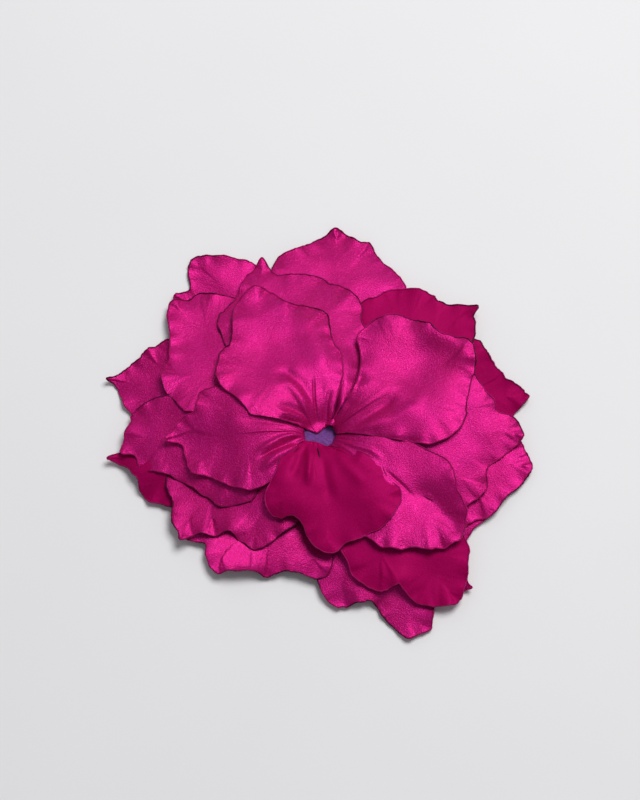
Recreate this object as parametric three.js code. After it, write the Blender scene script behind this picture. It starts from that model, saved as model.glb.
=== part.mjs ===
// A handmade satin flower, lying face up. Millimetres.
// +X is right and +Y is away from someone who looks at the flower from its front edge, +Z is up.
// The origin is the centre of the flat back of the felt base, which lies on the surface.
// Each petal is a cloth blade: straight rays run from its gathered root to a rim of hand-chosen points.
import * as THREE from "three";

const TAU = 2 * Math.PI;

// Driving sizes.
const CLOTH = 0.6; // a blade's thickness: the satin is thinner, but a solid needs this much
const FELT_RADIUS = 21;
const FELT_THICKNESS = 1.2;
const FELT_SIDES = 40;
const PAD_HEIGHT = 1.1; // the raised middle that shows between the petals
const PAD_TOP_RADIUS = 4;
const PAD_FOOT_RADIUS = 4.7;
const THREAD_RADIUS = 0.25;
const THREAD_RING_RADIUS = 5.4;
const THREAD_SIDES = 6;
const THREAD_STEPS = 28; // straight lengths round the ring
const AIR = 0.3; // between pieces that touch on the real flower
const ROWS = 6; // rows of faces from root to rim
const OVERLAP_RAMP = 0.2; // share of the way out where a petal has climbed over its neighbour
const CURL_POWER = 8; // the curl of the rim rises with this power of the way out
const FOLD_END = 0.55; // share of the way out where the gathers have died away
const BEND_SPAN = [0.3, 0.9]; // places across between which a bent petal's bend grows

// Each ring's petals are gathered round a circle of rootRadius and follow one dome:
// [distance from the middle, height], straight between the points.
// step is how far a petal that lies over its neighbour is raised.
// swells: [x, y, height, radius], broad hollows that every petal of the ring follows.
const RINGS = {
  outer: {
    rootRadius: 15,
    step: 1.1,
    dome: [[0, 2], [14, 2], [18, 2.4], [24, 2.5], [32, 2.3], [42, 1.8], [55, 1.2], [70, 1]],
    swells: [[30, 20, -0.3, 7], [34, -28, -0.3, 6], [-44, 16, -0.3, 6]],
  },
  middle: {
    rootRadius: 8.2,
    step: 1.3,
    dome: [[0, 2], [7, 2], [10, 4.2], [14, 5.3], [20, 5.4], [26, 5.2], [33, 4.7], [40, 4.2], [52, 3.6],
      [70, 2.8]],
    swells: [[30, 25, -0.4, 6], [45, -3, -0.4, 6], [28, -37, -0.4, 7], [-42, 2, -0.4, 6], [-33, 30, -0.4, 6]],
  },
  inner: {
    rootRadius: 4.2,
    step: 1.3,
    dome: [[0, 2.9], [3.4, 2.9], [5, 4.2], [7, 5.6], [10, 6.8], [14, 7.8], [20, 7.9], [26, 7.6], [33, 7.1],
      [40, 6.5], [46, 6.1], [70, 5]],
    swells: [[-14, 19, -0.8, 8], [25, 17, -0.8, 8], [28, -18, -0.4, 7], [-27, -3, -0.5, 7],
      [6, -20, -0.5, 7]],
  },
};

// One row a petal.
// root: where the two ends of the gathered root stand on the ring's root circle, in degrees.
// over: how much each side lies over its neighbour, 0 or 1.
// rim: points [x, y, lift of the curled edge] from the first side to the second.
// bend: degrees by which the second side is turned at the root, so that it curves out to its rim.
// folds: [place across the petal from 0 to 1, height, half width], gathers that run out from the root.
const PETALS = {
  outer_upper_left: {
    root: [112, 142],
    over: [0, 0],
    rim: [[-12, 41], [-16.5, 47.5], [-18, 49.5], [-23, 51], [-30, 51.5, 0.4], [-33.5, 51], [-35, 49],
      [-35, 45.5], [-34.5, 42.5], [-36, 41], [-38.5, 40.5, 1], [-38.5, 38], [-36.5, 34], [-32.5, 28]],
    folds: [[0.35, 0.3, 0.1], [0.6, -0.3, 0.08]],
  },
  outer_upper_right: {
    root: [10, 46],
    over: [0, 0],
    rim: [[46, 2.5], [50.5, 6.5], [54.5, 11, 1], [53.5, 13], [51.5, 15], [48.5, 16.5, -0.4], [47.5, 18.5],
      [45.5, 20.5], [44, 24], [42.5, 26.5, 0.4], [40, 28], [37, 29.5], [33.5, 30.5]],
    folds: [[0.3, 0.3, 0.1], [0.65, -0.3, 0.1]],
  },
  outer_lower_right: {
    root: [-80, -36],
    over: [0, 0],
    rim: [[-1.5, -36], [-0.5, -39], [1, -42.5], [3.5, -45], [6.5, -45.5], [9.5, -44.5, 1],
      [12.5, -44, 1.2], [14.5, -45.5], [16, -48], [18.5, -50.5], [22, -53.5, 0.6], [25, -52.5], [28, -51],
      [28.5, -48], [29.5, -44.5], [35.5, -41.5], [38.5, -40.5, 0.6], [37.5, -38.5], [36, -31], [39, -25],
      [44, -21]],
    folds: [[0.3, 0.3, 0.08], [0.45, -0.3, 0.08]],
  },
  outer_left: {
    root: [147, 178],
    over: [0, 0],
    rim: [[-35, 25.5], [-40, 27.5], [-43, 25.5], [-45.5, 24.5, 0.5], [-47.5, 22.5], [-50, 20],
      [-53, 17.5], [-56, 16, 1.6], [-54, 15], [-52.5, 12.5], [-51, 9, 0.5], [-49, 6.5], [-46, 4.5],
      [-42, 2.5]],
    folds: [[0.4, 0.3, 0.1], [0.75, -0.3, 0.1]],
  },
  outer_top: {
    root: [71, 107],
    over: [1, 1],
    rim: [[20.5, 36.5], [23, 41.5], [21.5, 45, 0.4], [19, 47.5], [16.5, 49.5], [15, 52], [13.5, 54.5],
      [10.5, 55.5, 0.6], [7, 57.5], [4, 59, 1.4], [1.5, 57.5], [-2.5, 55], [-6, 53.5, 0.5], [-10.5, 51.5],
      [-12.5, 48.5], [-12.5, 45], [-11.5, 40.5]],
    folds: [[0.35, 0.3, 0.1], [0.65, -0.3, 0.1]],
  },
  outer_right: {
    root: [-30, 2],
    over: [1, 1],
    rim: [[36.5, -24.5], [40.5, -22.5], [44, -21, 0.5], [47.5, -17], [50.5, -14], [54, -10.5],
      [55, -8, 0.7], [54, -5.5], [53, -3], [52, -1], [49.5, 0], [46.5, 1.5]],
    folds: [[0.4, 0.3, 0.12], [0.7, -0.3, 0.1]],
  },
  outer_lower_left: {
    root: [-131, -90],
    over: [1, 1],
    rim: [[-31.5, -25], [-34, -27.5], [-29.5, -29], [-29, -32], [-28, -35], [-26, -37, 0.5],
      [-23.5, -36.5, 1.3], [-19.5, -36.5, 1.8], [-16.5, -36.5, 1.2], [-13.5, -37.5], [-10, -36.5],
      [-6, -36.5, 0.4], [-3, -37.5], [0, -38.5], [2.5, -36.5, 0.5], [3.5, -31.5]],
    folds: [[0.4, 0.3, 0.1], [0.65, -0.3, 0.1]],
  },
  outer_left_low: {
    root: [184, 224],
    over: [1, 0],
    rim: [[-44, -1], [-51, -4], [-55, -6, 1.5], [-52.5, -7], [-50, -8.5], [-47.5, -11, 0.5],
      [-46.5, -13.5], [-45.5, -16], [-44, -17.5, 0.4], [-41.5, -18], [-38.5, -19], [-34.5, -19.5],
      [-31, -20.5]],
    folds: [[0.5, -0.3, 0.14]],
  },
  middle_lower_left: {
    root: [-139, -101],
    over: [0, 0],
    rim: [[-36, -9.5], [-39.5, -11.5], [-39, -15], [-38, -19, 0.5], [-38, -22.5], [-36.5, -25.5],
      [-35.5, -28.5, 1], [-33, -27.5], [-30, -26.5, 0.6], [-27, -27.5, -0.5], [-23, -26, 1.2], [-20, -29],
      [-16.5, -31, -0.2], [-13, -29.5], [-10, -27.5, 0.4], [-5.5, -24.5], [-3.5, -22]],
    folds: [[0.2, -0.3, 0.08], [0.45, 0.3, 0.1], [0.75, -0.3, 0.1]],
  },
  middle_left: {
    root: [166, 205],
    over: [0, 1],
    rim: [[-36.5, 12.5], [-40, 11], [-43.5, 10], [-48.5, 6.5], [-49, 4], [-50.5, 1, 0.6], [-51, -2],
      [-51.5, -5, 0.8], [-48, -5.5], [-46, -9.5], [-42.5, -10, 0.5], [-39, -11], [-35.5, -13],
      [-31.5, -15.5, 0.5], [-28.5, -17.5], [-26, -19.5, 0.8], [-21.5, -19.5], [-17.5, -18.5]],
    folds: [[0.3, -0.3, 0.08], [0.55, 0.3, 0.1], [0.8, -0.3, 0.08]],
  },
  middle_upper_left: {
    root: [130, 159],
    over: [0, 1],
    rim: [[-19.5, 35.5], [-23, 38.5], [-28, 39.5, 0.5], [-32, 40], [-35, 38.5], [-38.5, 38, 0.8],
      [-40, 35.5], [-40, 31], [-39.5, 27, -0.4], [-39.5, 22], [-41, 19.5], [-41.5, 15.5, 0.7],
      [-40.5, 12], [-38, 9.5], [-35, 6, 0.6]],
    folds: [[0.3, -0.3, 0.08], [0.55, 0.3, 0.1], [0.8, -0.3, 0.08]],
  },
  middle_upper_right: {
    root: [10, 36],
    over: [0, 0],
    rim: [[38, 22.5], [40.5, 27], [41, 30.5], [40.5, 33.5], [42, 36, 1], [39.5, 36.5], [34, 37, -0.4],
      [31, 38], [29.5, 39.5], [25.5, 41, 0.5], [20, 41], [17, 40], [15, 38.5], [12, 37.5], [9.5, 35.5],
      [8, 31.5]],
    folds: [[0.4, 0.3, 0.1], [0.7, -0.3, 0.1]],
  },
  middle_right: {
    root: [-33, 0],
    over: [1, 1],
    rim: [[34.5, -21.5], [38, -19], [41.5, -16.5, 0.5], [43, -13.5], [43, -9.5], [45.5, -7, -0.3],
      [48, -5], [50.5, -3], [52.5, -0.5, 0.8], [52, 2.5], [50, 5.5], [46.5, 6.5], [45, 10, 0.4],
      [42.5, 13.5], [40.5, 16.5], [37.5, 18]],
    folds: [[0.35, 0.3, 0.1], [0.65, -0.3, 0.1]],
  },
  middle_lower_right: {
    root: [-90, -48],
    over: [1, 0],
    rim: [[5, -31], [7, -34.5, 0.5], [8, -37.5], [10, -39.5], [12.5, -41], [15.5, -42, 0.4], [18, -41, 1],
      [20, -40.5, 1.6], [21.5, -42, 1], [24, -44.5], [28, -45.5], [32, -45.5, 0.5], [35, -44.5],
      [36.5, -41.5], [37.5, -36, 0.5], [38, -31], [37, -27.5], [34.5, -24]],
    folds: [[0.3, -0.3, 0.08], [0.5, 0.3, 0.1], [0.8, -0.3, 0.1]],
  },
  middle_top: {
    root: [48, 118],
    over: [1, 1],
    rim: [[13.5, 25.5], [11, 31], [11, 35], [9.5, 38.5, 0.5], [6.5, 41], [2.5, 42.5], [-0.5, 44.5],
      [-6, 45, 0.4], [-11.5, 45], [-13.5, 47], [-15.5, 49.5, 1.8], [-17.5, 46.5], [-20.5, 43],
      [-22, 38.5, -0.3], [-25, 35], [-27, 31.5, 0.5], [-26, 28], [-24, 23], [-20, 18.5]],
    folds: [[0.3, -0.3, 0.08], [0.5, 0.3, 0.1], [0.75, -0.3, 0.1]],
  },
  inner_lower_right: {
    root: [-47, -10],
    over: [0, 0],
    rim: [[6.5, -24.5], [9.5, -28], [12, -28.5], [15.5, -31, 0.6], [20, -31.5, 0.5], [24, -31],
      [27.5, -31.5, 0.6], [31, -31], [34.5, -29.5, 0.5], [36.5, -27], [37.5, -22], [36.5, -18.5, 0.5],
      [35, -15.5], [34.5, -11.5], [32.5, -8], [28, -5.5], [22.5, -2.5]],
    folds: [[0.3, -0.3, 0.08], [0.5, 0.3, 0.1], [0.75, -0.3, 0.1]],
  },
  inner_left: {
    root: [167, 192],
    over: [0, 0],
    rim: [[-24, 12.5], [-30, 11.5], [-31.5, 9], [-32.5, 5.5, 0.5], [-36, 3.5], [-38, 0.5],
      [-40, -2.5, 0.8], [-36, -3, -0.5], [-34.5, -7], [-33, -11, 0.8], [-28, -12.5], [-24, -14.5],
      [-19.5, -16, 0.6], [-16.5, -16], [-13.5, -14.5], [-11, -12]],
    folds: [[0.2, -0.3, 0.06], [0.4, 0.3, 0.08], [0.62, -0.3, 0.08], [0.85, 0.3, 0.06]],
  },
  inner_bottom: {
    root: [209, 292],
    over: [1, 1],
    rim: [[-10, -7.5], [-12, -13, 0.4], [-14, -18], [-13, -22], [-10, -23.5], [-7, -23.5, 0.6],
      [-4.5, -25.5], [-3, -29], [-0.5, -32, 0.5], [3, -33, 0.6], [6, -30.5], [11, -28.5],
      [16.5, -25, 0.4], [20, -20.5], [20.5, -16], [17.5, -13, -0.4], [15.5, -9], [11.5, -6.5]],
    folds: [[0.15, 0.3, 0.06], [0.35, -0.3, 0.07], [0.55, 0.3, 0.08], [0.8, -0.3, 0.08]],
  },
  inner_upper_left: {
    root: [54, 151],
    over: [1, 1],
    rim: [[6, 15], [5.5, 20.5], [3.5, 24], [2.5, 28.5], [2, 32], [-0.5, 33.5, 0.5], [-5.5, 35],
      [-9, 36, 0.8], [-13, 39], [-17, 40.5, 0.6], [-20, 38], [-22.5, 35], [-23, 30, 0.5], [-23.5, 24],
      [-26, 21.5], [-27, 15.5, 1], [-26, 12.5, 0.8], [-21.5, 8.5, 0.6], [-18, 4]],
    folds: [[0.12, 0.3, 0.06], [0.3, -0.3, 0.07], [0.5, 0.3, 0.08], [0.7, -0.3, 0.07], [0.88, 0.3, 0.05]],
  },
  inner_right: {
    root: [9, 40],
    over: [1, 1],
    rim: [[28, -4], [33, -2], [36.5, 1.5, 0.6], [38, 7], [39, 13], [40.5, 19.5, 0.6], [39.5, 25],
      [35, 26, -0.3], [31, 27], [28.5, 29.5], [24, 31], [18.5, 32, 0.5], [14, 30.5], [10.5, 27],
      [9.5, 25]],
    bend: -22,
    folds: [[0.15, 0.3, 0.06], [0.38, -0.3, 0.08], [0.6, 0.3, 0.08], [0.82, -0.3, 0.06]],
  },
};

// Straight interpolation in a list of [x, value].
function along(list, x) {
  const next = Math.max(1, list.findIndex(([at]) => at >= x));
  const [x0, v0] = list[next - 1];
  const [x1, v1] = list[next];
  return v0 + ((v1 - v0) * (x - x0)) / (x1 - x0);
}

// The point at an angle on a circle round the middle.
function onCircle(radius, degrees) {
  const turn = THREE.MathUtils.degToRad(degrees);
  return [radius * Math.cos(turn), radius * Math.sin(turn)];
}

// Height of a petal's middle layer: dome, swells, the climb over its neighbours, folds and curled rim.
function height(ring, petal, across, out, lift, x, y) {
  const { step, dome, swells } = RINGS[ring];
  const [first, second] = petal.over;
  const climb = step * (first + (second - first) * across);
  const climbed = THREE.MathUtils.smoothstep(out, 0, OVERLAP_RAMP);
  const sides = Math.sin(Math.PI * across) ** 0.5;
  const fade = sides * climbed * (1 - THREE.MathUtils.smoothstep(out, OVERLAP_RAMP, FOLD_END));
  let folds = 0;
  for (const [place, tall, width] of petal.folds) {
    folds += tall * Math.exp(-(((across - place) / width) ** 2));
  }
  let swell = 0;
  for (const [atX, atY, tall, radius] of swells) {
    swell += tall * Math.exp(-((x - atX) ** 2 + (y - atY) ** 2) / radius ** 2);
  }
  return along(dome, Math.hypot(x, y)) + swell + climb * climbed + folds * fade + lift * out ** CURL_POWER;
}

// A closed blade: the same grid of triangles above and below, joined round its edge.
function petalGeometry(ring, petal) {
  const columns = petal.rim.length - 1;
  const [[ax, ay], [bx, by]] = petal.root.map((degrees) => onCircle(RINGS[ring].rootRadius, degrees));
  const position = [];
  for (const side of [0.5, -0.5]) {
    for (let column = 0; column <= columns; column++) {
      const across = column / columns;
      const rootX = ax + (bx - ax) * across;
      const rootY = ay + (by - ay) * across;
      const [rimX, rimY, lift = 0] = petal.rim[column];
      const ray = new THREE.Vector2(rimX - rootX, rimY - rootY);
      const share = THREE.MathUtils.smoothstep(across, ...BEND_SPAN);
      const bend = THREE.MathUtils.degToRad(petal.bend ?? 0) * share;
      for (let row = 0; row <= ROWS; row++) {
        const out = row / ROWS;
        const turned = ray.clone().rotateAround(new THREE.Vector2(), bend * (1 - out ** 2));
        const reach = turned.multiplyScalar(out);
        const [x, y] = [rootX + reach.x, rootY + reach.y];
        position.push(x, y, height(ring, petal, across, out, lift, x, y) + side * CLOTH);
      }
    }
  }
  const layer = (columns + 1) * (ROWS + 1);
  const at = (column, row) => column * (ROWS + 1) + row;
  const index = [];
  const quad = (a, b, c, d) => index.push(a, b, c, a, c, d);
  for (let column = 0; column < columns; column++) {
    for (let row = 0; row < ROWS; row++) {
      const [a, b, c, d] = [
        at(column, row), at(column, row + 1), at(column + 1, row + 1), at(column + 1, row),
      ];
      quad(a, b, c, d);
      quad(layer + a, layer + d, layer + c, layer + b);
    }
  }
  const upTo = (count) => [...Array(count).keys()];
  const edge = [
    ...upTo(ROWS).map((row) => at(0, row)),
    ...upTo(columns).map((column) => at(column, ROWS)),
    ...upTo(ROWS).map((row) => at(columns, ROWS - row)),
    ...upTo(columns).map((column) => at(columns - column, 0)),
  ];
  edge.forEach((here, place) => {
    const next = edge[(place + 1) % edge.length];
    quad(here, layer + here, layer + next, next);
  });
  const geometry = new THREE.BufferGeometry();
  geometry.setAttribute("position", new THREE.Float32BufferAttribute(position, 3));
  geometry.setIndex(index);
  return geometry;
}

const satin = new THREE.MeshStandardMaterial({ name: "petal_satin", color: 0xb8156c, roughness: 0.4 });
const felt = new THREE.MeshStandardMaterial({ name: "felt", color: 0x6b3383, roughness: 0.95 });
const thread = new THREE.MeshStandardMaterial({ name: "thread", color: 0x7a0a45, roughness: 0.7 });

function named(name, geometry, material) {
  const mesh = new THREE.Mesh(geometry, material);
  mesh.name = name;
  return mesh;
}

function feltBase() {
  const padTop = FELT_THICKNESS + PAD_HEIGHT;
  const outline = [
    [0, 0], [FELT_RADIUS, 0], [FELT_RADIUS, FELT_THICKNESS], [PAD_FOOT_RADIUS, FELT_THICKNESS],
    [PAD_TOP_RADIUS, padTop], [0, padTop],
  ].map(([radius, up]) => new THREE.Vector2(radius, up));
  return new THREE.LatheGeometry(outline, FELT_SIDES).rotateX(TAU / 4);
}

function gatheringThread() {
  const ring = new THREE.TorusGeometry(THREAD_RING_RADIUS, THREAD_RADIUS, THREAD_SIDES, THREAD_STEPS);
  return ring.translate(0, 0, FELT_THICKNESS + AIR + THREAD_RADIUS);
}

const flower = new THREE.Group();
flower.name = "satin_flower";
flower.add(named("felt_base", feltBase(), felt));
flower.add(named("gathering_thread", gatheringThread(), thread));
for (const [name, petal] of Object.entries(PETALS)) {
  flower.add(named(name, petalGeometry(name.split("_")[0], petal), satin));
}

export default flower;
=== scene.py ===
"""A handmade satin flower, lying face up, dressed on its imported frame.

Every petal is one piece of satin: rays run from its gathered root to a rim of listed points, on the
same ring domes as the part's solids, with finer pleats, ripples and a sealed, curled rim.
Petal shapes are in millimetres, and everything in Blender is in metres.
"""
import math

import bmesh
import bpy
from mathutils import Matrix, Vector, kdtree, noise


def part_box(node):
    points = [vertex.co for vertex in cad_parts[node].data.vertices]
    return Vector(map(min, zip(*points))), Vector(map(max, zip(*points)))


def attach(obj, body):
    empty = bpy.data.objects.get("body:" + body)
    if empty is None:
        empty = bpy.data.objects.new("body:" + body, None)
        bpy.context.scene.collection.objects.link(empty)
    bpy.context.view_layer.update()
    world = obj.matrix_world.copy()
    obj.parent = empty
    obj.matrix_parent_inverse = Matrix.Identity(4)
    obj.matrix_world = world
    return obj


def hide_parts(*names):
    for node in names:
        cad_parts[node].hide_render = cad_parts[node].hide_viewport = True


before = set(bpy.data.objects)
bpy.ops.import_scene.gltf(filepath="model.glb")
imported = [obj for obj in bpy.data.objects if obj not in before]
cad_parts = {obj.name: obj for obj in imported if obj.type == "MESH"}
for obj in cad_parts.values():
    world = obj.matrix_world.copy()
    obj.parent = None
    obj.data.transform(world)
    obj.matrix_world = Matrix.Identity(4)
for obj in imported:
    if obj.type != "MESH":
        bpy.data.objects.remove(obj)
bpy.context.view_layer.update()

MM = 0.001
TAU = 2 * math.pi

# Cloth.
SATIN_THICKNESS = 0.2
COLUMNS = 150
ROWS = 76
ROW_CROWDING = 1.4  # rows stand closer towards the rim
CLOTH_MAP = 0.1  # metres of cloth in one unit of its map
EASE = 1.08  # the gathers and waves take up a little cloth
LOWEST = 0.4  # the least height of the cloth over the surface that the flower lies on
FRONT_SLOT, BACK_SLOT, BEAD_SLOT = range(3)

# The bead: the melted thread of cloth along each petal's cut edge.
BEAD_RADIUS = 0.19
BEAD_SIDES = 6
BEAD_UNEVENNESS = 0.5  # of its radius
BEAD_LUMPS = 0.6  # how far the lumps' noise moves on at each point of the bead's path
BEAD_FIRST_ROW = 8
BEAD_ROW_STEP = 2

# How a petal lies on its neighbours.
CLIMB_START = -0.1  # share of the way out where a petal would start to climb over its neighbour
OVERLAP_RAMP = 0.2  # share of the way out where a petal has climbed over its neighbour
BEND_SPAN = (0.3, 0.9)  # places across between which a bent petal's bend grows
ROOT_SPREAD = 0.15  # of a root's width, added at each end, so that roots crowd one another
SIDE_CALM = 0.16  # share across where a side that lies under its neighbour stays calm
DROOP = 0.8  # how far the rim of a petal that lies over its neighbour sinks towards it
FLANK_DROOP = 1  # the same along the petal's straight sides
DROOP_SPAN = (0, 0.3)  # shares of the way out between which the droop sets in
DROOP_REACH = 3.5

# Gathers and creases at the root.
FOLD_END = 0.55  # share of the way out where the gathers have died away
PLEATS = 6
PLEAT_HEIGHT = 0.12
PLEAT_PEAK = 0.09  # share of the way out where the pleats are deepest
PLEAT_SHIFT = 0.6  # how unevenly the pleats are spaced, in pleats
PLEAT_SHIFTS = 4  # changes of spacing across a petal
PLEAT_TALL = (0.7, 0.6)  # a pleat's usual share of the height, and how much it changes
PLEAT_CHANGES = 6  # changes of height across a petal
TAPER = 0.3  # share of a crease's length over which it rises at each end
CREASE_REACH = 3  # widths past which a crease no longer counts
TILT_SPAN = (0, 0.25)  # shares of the way out between which a petal's tilt sets in

# Ripples in the cloth and the ruffle of the rim.
RIPPLE_HEIGHT = 0.8
RIPPLE_LENGTH = 13
DIMPLE_HEIGHT = 0.2
DIMPLE_LENGTH = 5
EDGE_STEPS = 400  # points along the rim from which the edge's form is taken
ROUNDING = 1e-6  # a length may pass the rim's end by this
RUFFLE_HEIGHT = 0.8
RUFFLE_LENGTH = 3.2
RUFFLE_REACH = 2.4
RUFFLE_SPAN = (0.05, 0.35)  # shares of the way out between which the ruffle sets in
CURL_HEIGHT = 0.5
CURL_LENGTH = 5
CURL_UP = 0.25  # how far the curl leans upwards, of its own height
CURL_REACH = 0.9
LIFT_REACH = 5
TIP_SPAN = (0.6, 1)  # shares of the way out between which a side turns into the rim
RIM_WOBBLE = 0.5
WOBBLE_LENGTH = 2.6
RIM_CRINKLE = 0.2
CRINKLE_LENGTH = 0.9

# Layers of the noise: a place in one layer has nothing to do with the same place in another.
SEED_STEP = 0.37  # a petal's seed is this many times the sum of its name's letter codes
RUFFLE_LAYER = 0
WOBBLE_LAYER = 0
PLEAT_SHIFT_LAYER = 1
PLEAT_TALL_LAYER = 2
RIPPLE_LAYER = 3
CRINKLE_LAYER = 4
CURL_LAYER = 5
BEAD_LAYER = 7
DIMPLE_LAYER = 9

# Each ring's petals are gathered round a circle of root_radius and follow one dome:
# [distance from the middle, height]. step is how far a petal that lies over its neighbour is raised.
# swells: [x, y, height, radius], broad hollows that every petal of the ring follows.
RINGS = {
    "outer": {
        "root_radius": 15,
        "step": 1.2,
        "dome": [[0, 2], [14, 2], [18, 2.4], [24, 2.5], [32, 2.3], [42, 1.7], [55, 0.9], [70, 0.8]],
        "swells": [[30, 20, -0.3, 7], [34, -28, -0.3, 6], [-44, 16, -0.3, 6]],
    },
    "middle": {
        "root_radius": 8.2,
        "step": 1.2,
        "dome": [[0, 2], [7, 2], [10, 4.4], [14, 5.4], [20, 5.4], [26, 5], [33, 4.3], [40, 3.5], [52, 2.5],
            [70, 2]],
        "swells": [[30, 25, -0.5, 6], [45, -3, -0.4, 6], [28, -37, -0.5, 7], [-42, 2, -0.4, 6],
            [-33, 30, -0.4, 6]],
    },
    "inner": {
        "root_radius": 4.2,
        "step": 1.2,
        "dome": [[0, 3], [3.4, 3], [5, 4.4], [7, 5.8], [10, 7], [14, 7.7], [20, 7.7], [26, 7.2], [33, 6.4],
            [40, 5.4], [46, 4.7], [70, 3]],
        "swells": [[-14, 19, -1.2, 8], [25, 17, -2.2, 8], [28, -18, -0.6, 7], [-27, -3, -0.8, 7],
            [6, -20, -0.9, 7]],
    },
}
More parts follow.
